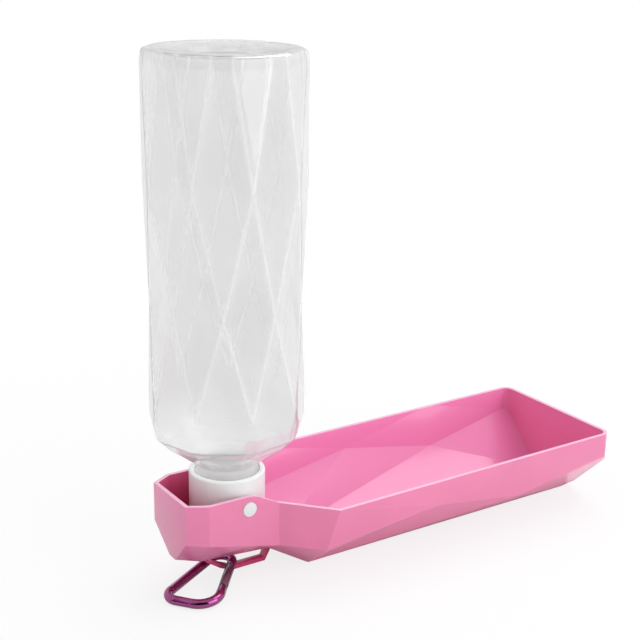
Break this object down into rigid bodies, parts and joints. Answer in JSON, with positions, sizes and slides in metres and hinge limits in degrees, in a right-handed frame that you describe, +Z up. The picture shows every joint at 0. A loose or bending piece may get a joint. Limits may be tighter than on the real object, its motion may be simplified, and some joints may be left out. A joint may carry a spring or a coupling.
{
  "type": "dog travel water bottle",
  "caption": "Clear faceted bottle standing base up on a folding pink drinking trough, on a swivelling screw cap, with a small carabiner under the collar",
  "frame": {"origin": "centre of the trough's flat underside, on the table", "axes": "+Z up the standing bottle, +X along the trough away from the bottle, +Y across the trough"},
  "size_m": [0.2247, 0.0746, 0.2215],
  "materials": {
    "tray_plastic": "smooth pink moulded plastic",
    "silicone": "soft off-white silicone",
    "pink_silicone": "soft pink silicone",
    "cap_plastic": "white moulded plastic",
    "clear_plastic": "clear blown plastic",
    "anodised_metal": "magenta anodised rod",
    "gate_metal": "plain grey rod",
    "pin_steel": "steel"
  },
  "bodies": {
    "tray": {"tray": "tray_plastic", "stopper_pad": "pink_silicone"},
    "cap": {"screw_cap": "cap_plastic"},
    "seal": {"cap_gasket": "silicone"},
    "bottle": {"bottle": "clear_plastic"},
    "carabiner": {"carabiner_frame": "anodised_metal", "gate_hinge_pin": "pin_steel"},
    "gate": {"carabiner_gate": "gate_metal", "gate_latch_pin": "pin_steel", "gate_spring": "pin_steel"}
  },
  "joints": [
    {"name": "bottle_fold", "type": "hinge", "parent": "tray", "child": "cap", "pos_m": [-0.10805, 0, 0.0363], "axis": [0, 1, 0], "range_deg": [0, 90]},
    {"name": "bottle_rise", "type": "slide", "parent": "cap", "child": "seal", "axis": [0, 0, 1], "range_m": [0, 0.0016]},
    {"name": "bottle_turn", "type": "hinge", "parent": "seal", "child": "bottle", "pos_m": [-0.10805, 0, 0.0363], "axis": [0, 0, 1], "range_deg": [0, 180]},
    {"name": "carabiner_swing", "type": "hinge", "parent": "tray", "child": "carabiner", "pos_m": [-0.11106, 0.00075, 0.00345], "axis": [0.6212, -0.7837, 0], "range_deg": [-5, 75]},
    {"name": "carabiner_gate", "type": "hinge", "parent": "carabiner", "child": "gate", "pos_m": [-0.11026, -0.00596, 0.00419], "axis": [0.0585, 0.0464, -0.9972], "range_deg": [0, 24], "stiffness_Nm_per_rad": 0.02, "springref_deg": -11.46}
  ],
  "couplings": [
    {"joint": "bottle_rise", "follows": "bottle_turn", "m_per_rad": 0.0005061}
  ]
}
